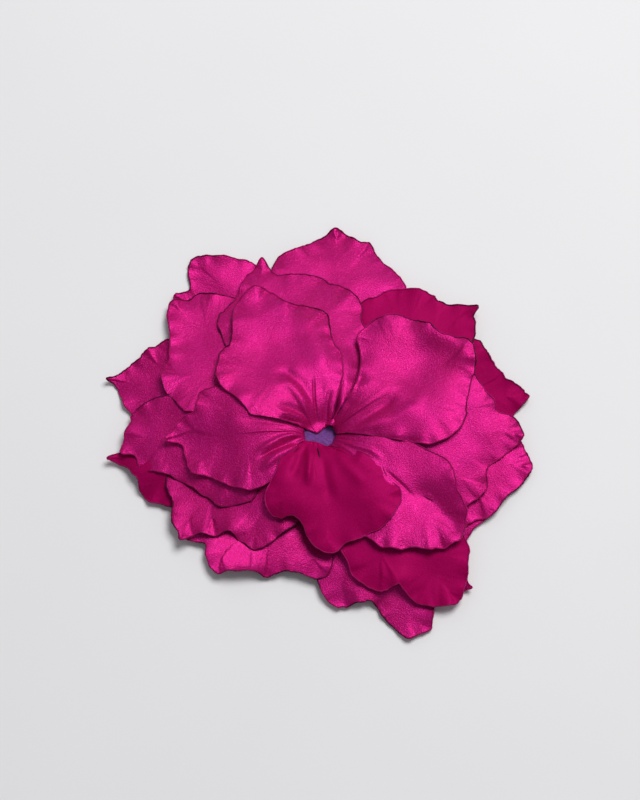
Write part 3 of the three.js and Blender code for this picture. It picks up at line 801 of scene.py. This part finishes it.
# Satin. Lengths are in metres.
SATIN_DEEP = (0.44, 0.001, 0.085, 1)
SATIN_LIGHT = (0.54, 0.004, 0.17, 1)
# The reverse is duller than the face. Its darker colour is partly painted shade for the petals that lie
# reverse up.
REVERSE_SHADED_DEEP = (0.33, 0.0001, 0.065, 1)
REVERSE_SHADED_LIGHT = (0.39, 0.0003, 0.09, 1)
# Painted highlight: pale pink specks in the base colour stand in for glints of light on the threads.
SATIN_PAINTED_GLINT = (0.85, 0.05, 0.36, 1)
FACE_GLOSS = 1
REVERSE_GLOSS = 0.4
METALLIC = 0.55
SHEEN = 0.08
GRAIN = 0.00032
GRAIN_HEIGHT = 0.0001
GRAIN_CONTRAST = 1.6
CLOUD = 0.012
CLOUD_CONTRAST = 0.9
LIGHT_FROM = 0.75  # the sum of grain and cloud at which the lighter colour starts
# Size, threshold and strength of the painted glints.
PAINTED_GLINT_SIZE = 0.00036
PAINTED_GLINT_FROM = 0.5
PAINTED_GLINT_CONTRAST = 1.3
SMOOTHEST = 0.34
GRAIN_ROUGHNESS = 0.2
REVERSE_ROUGHNESS = 0.18
FLOAT_PITCH = 0.0012  # the satin's floating threads, in the cloth map's units
FLOAT_WAVER = 0.6
FLOAT_HEIGHT = 0.00002
FLOAT_STRENGTH = 0.5
FLOAT_LEAN = 0.22  # slope of the floats, which makes each petal light or dark with the way it was cut
WAVE_PERIOD = 0.31  # of a wave texture whose scale is 1


def satin(name, deep, light, gloss):
    """Satin: floating threads, a fine sparkle of bumps and painted glints, and a tinted sheen. gloss is 1
    on the face.
    """
    paint = Paint(name, {
        "Specular IOR Level": gloss * gloss,
        "Specular Tint": (0.8, 0.2, 1, 1),
        "Metallic": METALLIC * gloss,
        "Sheen Weight": SHEEN * gloss,
        "Sheen Roughness": 0.4,
        "Sheen Tint": (1, 0.1, 0.8, 1),
    })
    here = paint.coordinates("Object")
    grain = paint.noise(here, GRAIN, 1.0)
    cloud = paint.noise(here, CLOUD)
    lightness = (grain * GRAIN_CONTRAST + cloud * CLOUD_CONTRAST - LIGHT_FROM).clamped()
    # Painted glints: specks of the pale colour, stronger on the glossy face.
    painted_glint = (paint.noise(here, PAINTED_GLINT_SIZE, 1.0) - PAINTED_GLINT_FROM) * (PAINTED_GLINT_CONTRAST * gloss * gloss)
    paint.drive("Base Color", paint.mix(painted_glint.clamped(), paint.mix(lightness, deep, light), SATIN_PAINTED_GLINT))
    paint.drive("Roughness", grain * GRAIN_ROUGHNESS + (SMOOTHEST + (1 - gloss) * REVERSE_ROUGHNESS))
    cloth = paint.coordinates("UV")
    bands = {"wave_type": "BANDS", "bands_direction": "X"}
    floats = paint.node("ShaderNodeTexWave", bands, {
        "Vector": cloth, "Scale": WAVE_PERIOD / FLOAT_PITCH, "Distortion": FLOAT_WAVER, "Detail": 1.0,
    })
    normal = paint.bump(floats.outputs[1], FLOAT_HEIGHT, FLOAT_STRENGTH)
    along = paint.node("ShaderNodeSeparateXYZ", inputs={"Vector": cloth}).outputs[0]
    normal = paint.bump(along, CLOTH_MAP * FLOAT_LEAN, normal=normal)
    paint.drive("Normal", paint.bump(grain, GRAIN_HEIGHT, gloss, normal))
    return paint.material


# The sealed rim.
RIM_DARK = (0.045, 0.001, 0.014, 1)
RIM_RED = (0.14, 0.001, 0.035, 1)
RIM_PINK = (0.34, 0.004, 0.10, 1)
MELT = 0.004
MELT_CONTRAST = 2
MELT_DETAIL = 3.0
SCORCH = 0.014
SCORCH_CONTRAST = 3
PINK_FROM = 2  # the sum of melt and scorch at which the rim starts to turn pink
BLISTER = 0.0006
BLISTER_HEIGHT = 0.0001
BLISTER_STRENGTH = 0.6
RIM_SMOOTHEST = 0.35
MELT_ROUGHNESS = 0.3


def singed_rim(name, dark, light):
    """Melted satin: glossy and uneven."""
    paint = Paint(name, {"Specular IOR Level": 0.25, "Specular Tint": (1, 0.3, 0.7, 1)})
    here = paint.coordinates("Object")
    melt = paint.noise(here, MELT, MELT_DETAIL)
    scorch = paint.noise(here, SCORCH, 1.0)
    pink = (melt * MELT_CONTRAST + scorch * SCORCH_CONTRAST - PINK_FROM).clamped()
    paint.drive("Base Color", paint.mix(pink, dark, light))
    paint.drive("Roughness", melt * MELT_ROUGHNESS + RIM_SMOOTHEST)
    paint.drive("Normal", paint.bump(paint.noise(here, BLISTER), BLISTER_HEIGHT, BLISTER_STRENGTH))
    return paint.material


# Felt.
FELT_DEEP = (0.10, 0.02, 0.17, 1)
FELT_LIGHT = (0.22, 0.06, 0.33, 1)
FIBRE = 0.0006
FIBRE_DETAIL = 6.0
FIBRE_CONTRAST = 1.4
FIBRE_HEIGHT = 0.0004
FIBRE_STRENGTH = 0.9
FIBRE_ROUGHNESS = 0.1
FELT_SMOOTHEST = 0.88
FELT_CLOUD = 0.003
FELT_CLOUD_CONTRAST = 0.6
FELT_LIGHT_FROM = 0.5  # the sum of fibre and cloud at which the lighter colour starts


def felt_wool():
    """Felt: matted short fibres."""
    paint = Paint("violet_felt", {"Specular IOR Level": 0.15, "Sheen Weight": 0.4, "Sheen Roughness": 0.6})
    here = paint.coordinates("Object")
    mat = paint.noise(here, FIBRE, FIBRE_DETAIL)
    cloud = paint.noise(here, FELT_CLOUD)
    lightness = (mat * FIBRE_CONTRAST + cloud * FELT_CLOUD_CONTRAST - FELT_LIGHT_FROM).clamped()
    paint.drive("Base Color", paint.mix(lightness, FELT_DEEP, FELT_LIGHT))
    paint.drive("Roughness", mat * FIBRE_ROUGHNESS + FELT_SMOOTHEST)
    paint.drive("Normal", paint.bump(mat, FIBRE_HEIGHT, FIBRE_STRENGTH))
    return paint.material


# Sewing thread.
THREAD_DEEP = (0.008, 0.002, 0.008, 1)
THREAD_LIGHT = (0.03, 0.005, 0.02, 1)
THREAD_FUZZ = 0.0003
THREAD_FUZZ_HEIGHT = 0.00005
THREAD_FUZZ_STRENGTH = 0.6
THREAD_FUZZ_ROUGHNESS = 0.2
THREAD_SMOOTHEST = 0.5


def sewing_thread():
    """Twisted thread."""
    paint = Paint("dark_thread", {"Specular IOR Level": 0.2})
    fuzz = paint.noise(paint.coordinates("Object"), THREAD_FUZZ)
    paint.drive("Base Color", paint.mix(fuzz, THREAD_DEEP, THREAD_LIGHT))
    paint.drive("Roughness", fuzz * THREAD_FUZZ_ROUGHNESS + THREAD_SMOOTHEST)
    paint.drive("Normal", paint.bump(fuzz, THREAD_FUZZ_HEIGHT, THREAD_FUZZ_STRENGTH))
    return paint.material


# Felt base: a disc with a raised middle and a soft, slightly uneven edge.
FELT_THICKNESS = 1.2
FELT_RINGS = 72
FELT_STEPS = 128
FELT_EDGE = [(1.008, 0.8), (1.012, 0.5), (1.006, 0.15)]  # shares of the radius and of the thickness
FELT_WAVER = 0.006
FELT_WAVES = 5
FELT_FUZZ = 0.12
FELT_FUZZ_LENGTH = 0.8
PAD_HEIGHT = 1.4  # the raised middle that shows between the petals
PAD_TOP = 4
PAD_FOOT = 5.4


def felt_outline(radius):
    """The disc's half section from near the middle of its top to near the middle of its back."""
    shares = [ring / (FELT_RINGS - 1) for ring in range(1, FELT_RINGS)]
    for share in shares:
        raised = PAD_HEIGHT * (1 - smooth(PAD_TOP, PAD_FOOT, share * radius / MM))
        yield share * radius, (FELT_THICKNESS + raised) * MM
    for share, up in FELT_EDGE:
        yield share * radius, up * FELT_THICKNESS * MM
    for share in reversed(shares):
        yield share * radius, 0


def felt_disc(material):
    low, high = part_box("felt_base")
    radius = (high.x - low.x) / 2
    mesh = bmesh.new()
    outline = [mesh.verts.new((out, 0, up)) for out, up in felt_outline(radius)]
    section = [mesh.edges.new(pair) for pair in zip(outline, outline[1:])]
    bmesh.ops.spin(
        mesh, geom=outline + section, axis=(0, 0, 1), angle=TAU, steps=FELT_STEPS, use_merge=True
    )
    for vert in mesh.verts:
        plan = vert.co.xy
        waver = noise.noise(plan.normalized().to_3d() * FELT_WAVES)
        vert.co.xy = plan * (1 + FELT_WAVER * waver * plan.length / radius)
        if vert.co.z > 0:
            vert.co.z += FELT_FUZZ * MM * noise.noise(vert.co / (FELT_FUZZ_LENGTH * MM))
    for face in mesh.faces:
        face.smooth = True
    bmesh.ops.holes_fill(mesh, edges=[edge for edge in mesh.edges if edge.is_boundary])
    bmesh.ops.recalc_face_normals(mesh, faces=mesh.faces)
    return finish_mesh("felt_base_wool", mesh, [material])


# Gathering thread: a ring on the felt, and the one stitch that shows over the bottom petal's root.
STRANDS = 2
STRAND_TWISTS = 26
STRAND_PLACE = 0.45  # of the thread's radius, from its middle
STRAND_RADIUS = 0.5  # of the thread's radius
STRAND_STEPS = 160
STRAND_SIDES = 6
STITCH_AT = 0.55  # place across the petal
STITCH_OUT = (0.06, 0.19)  # shares of the way out between which it lies
STITCH_STEPS = 16
STITCH_SIDES = 8
STITCH_RADIUS = 0.16
STITCH_ARCH = 0.3
STITCH_SINK = 0.25  # how far its ends go into the cloth


def strand(radius, thick, level, start):
    """One strand's path round the ring."""
    for step in range(STRAND_STEPS + 1):
        turn = TAU * step / STRAND_STEPS
        twist = turn * STRAND_TWISTS + start
        reach = radius + STRAND_PLACE * thick * math.cos(twist)
        height = level + STRAND_PLACE * thick * math.sin(twist)
        yield Vector((reach * math.cos(turn), reach * math.sin(turn), height))


def stitch(petal):
    """The path of the one stitch that shows."""
    first, last = STITCH_OUT
    for step in range(STITCH_STEPS + 1):
        share = step / STITCH_STEPS
        point = petal.point(STITCH_AT, first + (last - first) * share)
        point.z += STITCH_ARCH * math.sin(math.pi * share) - STITCH_SINK * abs(2 * share - 1) ** 3
        yield point * MM


def gathering_thread(petal, material):
    low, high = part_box("gathering_thread")
    thick = (high.z - low.z) / 2
    radius = (high.x - low.x) / 2 - thick
    mesh = bmesh.new()
    for place in range(STRANDS):
        path = list(strand(radius, thick, (low.z + high.z) / 2, TAU * place / STRANDS))
        tube(mesh, path, [thick * STRAND_RADIUS] * len(path), STRAND_SIDES)
    path = list(stitch(petal))
    tube(mesh, path, [STITCH_RADIUS * MM] * len(path), STITCH_SIDES)
    return finish_mesh("gathering_thread_strands", mesh, [material])


def flat_cut(petal):
    """The satin's cut size before it was gathered: width and length in metres, and area."""
    outline = [petal.root[0]] + [point.xy for point in petal.rim] + [petal.root[-1]]
    middle = (petal.rim[len(petal.rim) // 2].xy - spline(petal.root, 0.5)).normalized()
    aside = Vector((-middle.y, middle.x))
    lengths = [point.dot(middle) for point in outline]
    widths = [point.dot(aside) for point in outline]
    twice = sum(one.x * two.y - one.y * two.x for one, two in zip(outline, outline[1:] + outline[:1]))
    size = [(max(values) - min(values)) * MM * EASE for values in (widths, lengths)]
    return size, abs(twice) / 2 * (MM * EASE) ** 2


# Camera: over the front edge, looking down.
ELEVATION = math.radians(70)
DISTANCE = 0.62
LENS = 107.4
SENSOR_WIDTH = 36
AIM = Vector((0, 0.00903, 0.00509))

# Lights: name, azimuth, elevation, distance, size, power and colour.
LIGHTS = [
    ("key", 50, 62, 1.2, 0.6, 12, (1, 0.98, 0.98)),
    ("back_fill", 110, 35, 1.5, 1.2, 1.5, (1, 1, 1)),
]
SKY_COLOUR = (0.9, 0.93, 1, 1)
SKY_STRENGTH = 0.26

# The sheet that the flower lies on.
PAPER_SHADE = (0.80, 0.80, 0.80, 1)
PAPER_WHITE = (0.83, 0.83, 0.83, 1)
PAPER_CLOUD = 0.05
FLOOR_REACH = 3


def add_camera():
    data = bpy.data.cameras.new("camera")
    data.lens = LENS
    data.sensor_width = SENSOR_WIDTH
    camera = bpy.data.objects.new("camera", data)
    bpy.context.scene.collection.objects.link(camera)
    back = Vector((0, -math.cos(ELEVATION), math.sin(ELEVATION)))
    camera.location = AIM + back * DISTANCE
    camera.rotation_euler = (-back).to_track_quat("-Z", "Y").to_euler()
    bpy.context.scene.camera = camera


def add_light(name, azimuth, elevation, distance, size, power, colour):
    """A square area light that faces the flower. Azimuth 0 is to the right and 90 is behind the flower."""
    data = bpy.data.lights.new(name, "AREA")
    data.size = size
    data.energy = power
    data.color = colour
    light = bpy.data.objects.new(name, data)
    a, e = math.radians(azimuth), math.radians(elevation)
    way = Vector((math.cos(a) * math.cos(e), math.sin(a) * math.cos(e), math.sin(e)))
    light.location = way * distance
    light.rotation_euler = way.to_track_quat("Z", "Y").to_euler()
    bpy.context.scene.collection.objects.link(light)


def paper():
    paint = Paint("pale_floor", {"Roughness": 0.9, "Specular IOR Level": 0.2})
    cloud = paint.noise(paint.coordinates("Object"), PAPER_CLOUD)
    paint.drive("Base Color", paint.mix(cloud, PAPER_SHADE, PAPER_WHITE))
    return paint.material


def add_floor():
    mesh = bmesh.new()
    bmesh.ops.create_grid(mesh, x_segments=1, y_segments=1, size=FLOOR_REACH)
    finish_mesh("floor", mesh, [paper()])


def add_world():
    world = bpy.data.worlds.new("studio")
    world.use_nodes = True
    world.node_tree.nodes["Background"].inputs["Color"].default_value = SKY_COLOUR
    world.node_tree.nodes["Background"].inputs["Strength"].default_value = SKY_STRENGTH
    bpy.context.scene.world = world
    bpy.context.scene.view_settings.view_transform = "Standard"


def main():
    add_camera()
    add_world()
    for light in LIGHTS:
        add_light(*light)
    add_floor()
    face = satin("petal_satin_face", SATIN_DEEP, SATIN_LIGHT, FACE_GLOSS)
    reverse_and_shade = satin("petal_satin_reverse_shaded", REVERSE_SHADED_DEEP, REVERSE_SHADED_LIGHT, REVERSE_GLOSS)
    dark_rim = singed_rim("singed_rim", RIM_DARK, RIM_PINK)
    soft_rim = singed_rim("melted_rim", RIM_RED, RIM_PINK)
    petals = {name: Petal(name, shape) for name, shape in PETALS.items()}
    for name, petal in petals.items():
        # A petal that lies reverse up shows the darker reverse colour, which is partly painted shade.
        sides = [reverse_and_shade, face] if petal.dull_shaded else [face, reverse_and_shade]
        cloth = petal_cloth(petal, sides + [soft_rim if petal.soft_rim else dark_rim])
        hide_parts(name)
        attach(cloth, "root")
        size, area = flat_cut(petal)
    felt = felt_disc(felt_wool())
    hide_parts("felt_base")
    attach(felt, "root")
    thread = gathering_thread(petals["inner_bottom"], sewing_thread())
    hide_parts("gathering_thread")
    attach(thread, "root")


main()
